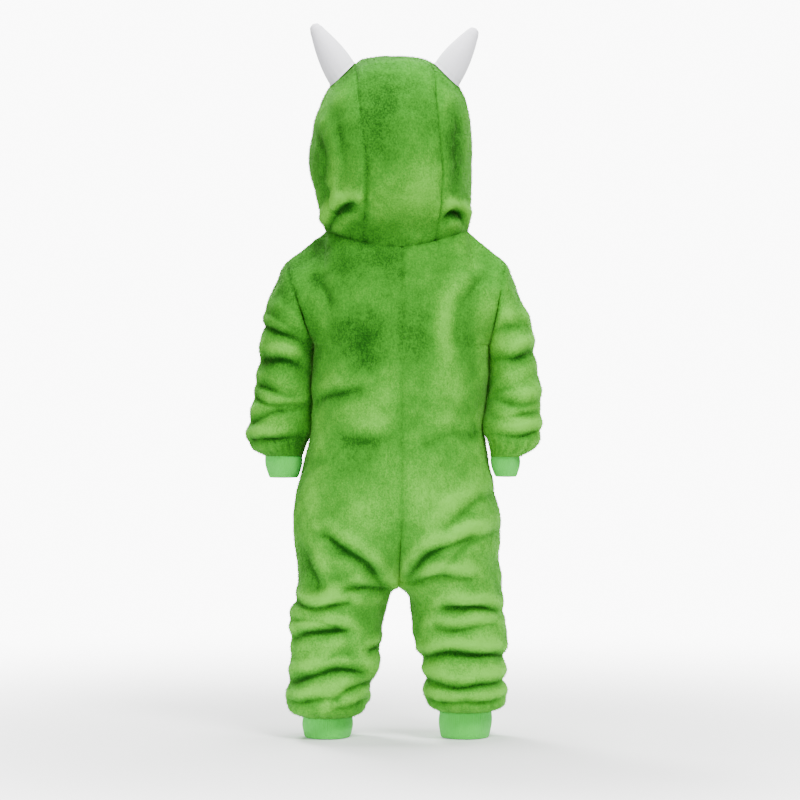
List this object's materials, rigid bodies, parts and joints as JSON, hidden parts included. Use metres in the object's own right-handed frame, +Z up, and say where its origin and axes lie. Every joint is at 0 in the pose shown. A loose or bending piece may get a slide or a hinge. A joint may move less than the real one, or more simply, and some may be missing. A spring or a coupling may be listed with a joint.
{
  "type": "hooded plush onesie",
  "caption": "Child's hooded plush one-piece suit with long sleeves and legs, knitted cuffs, stuffed horns on the hood and a front zip, open and hollow as worn.",
  "frame": {"origin": "middle of the neck at the mean height of the shoulder seams, where the wearer's shoulders carry the suit", "axes": "+X towards the wearer's left, +Y towards the back, +Z up"},
  "size_m": [0.3503, 0.2011, 0.8393],
  "materials": {
    "plush": "short-pile green plush with a soft nap",
    "cuff_knit": "smooth green rib knit",
    "white_cloth": "white brushed cloth, stuffed",
    "zip_tape": "woven green tape",
    "zip_teeth": "moulded green plastic",
    "zip_metal": "satin nickel"
  },
  "bodies": {
    "garment": {"back_left": "plush", "back_right": "plush", "front_left": "plush", "front_right": "plush", "sleeve_left": "plush", "sleeve_right": "plush", "hood_center": "plush", "hood_side_left": "plush", "hood_side_right": "plush", "cuff_wrist_left": "cuff_knit", "cuff_wrist_right": "cuff_knit", "cuff_ankle_left": "cuff_knit", "cuff_ankle_right": "cuff_knit", "horn_left": "white_cloth", "horn_right": "white_cloth", "zip_tape_left": "zip_tape", "zip_tape_right": "zip_tape", "zip_teeth": "zip_teeth", "zip_slider": "zip_metal"},
    "pull_tab": {"zip_pull": "zip_metal"}
  },
  "joints": [
    {"name": "pull_tab_hinge", "type": "hinge", "parent": "garment", "child": "pull_tab", "pos_m": [0, -0.07157, -0.04945], "axis": [-1, 0, 0], "range_deg": [0, 170]}
  ]
}
